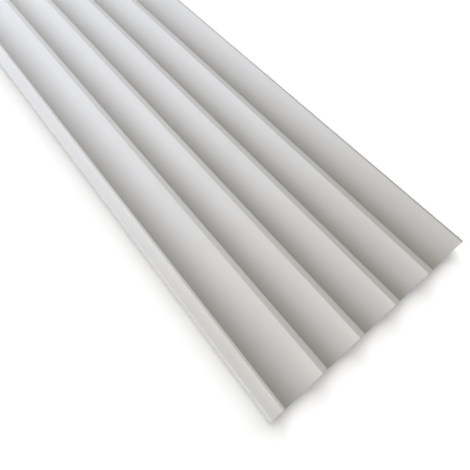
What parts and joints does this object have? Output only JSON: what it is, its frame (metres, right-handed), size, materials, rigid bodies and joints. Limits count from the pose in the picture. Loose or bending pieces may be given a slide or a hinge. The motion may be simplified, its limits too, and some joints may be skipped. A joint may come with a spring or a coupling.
{
  "type": "fluted wall panel",
  "caption": "Long white wall panel with concave lengthwise flutes between narrow flat lands, a lap tongue along one long edge and a matching rebate under the other.",
  "frame": {"origin": "middle of the flat back that lies on the floor, at the centre of the overall outline", "axes": "+X across the panel from the tongue to the lap edge, +Y along its length, +Z out of the fluted face"},
  "size_m": [0.263, 2, 0.013],
  "materials": {
    "white_polymer": "matte white, ready to paint"
  },
  "bodies": {
    "root": {"fluted_panel": "white_polymer"}
  },
  "joints": []
}
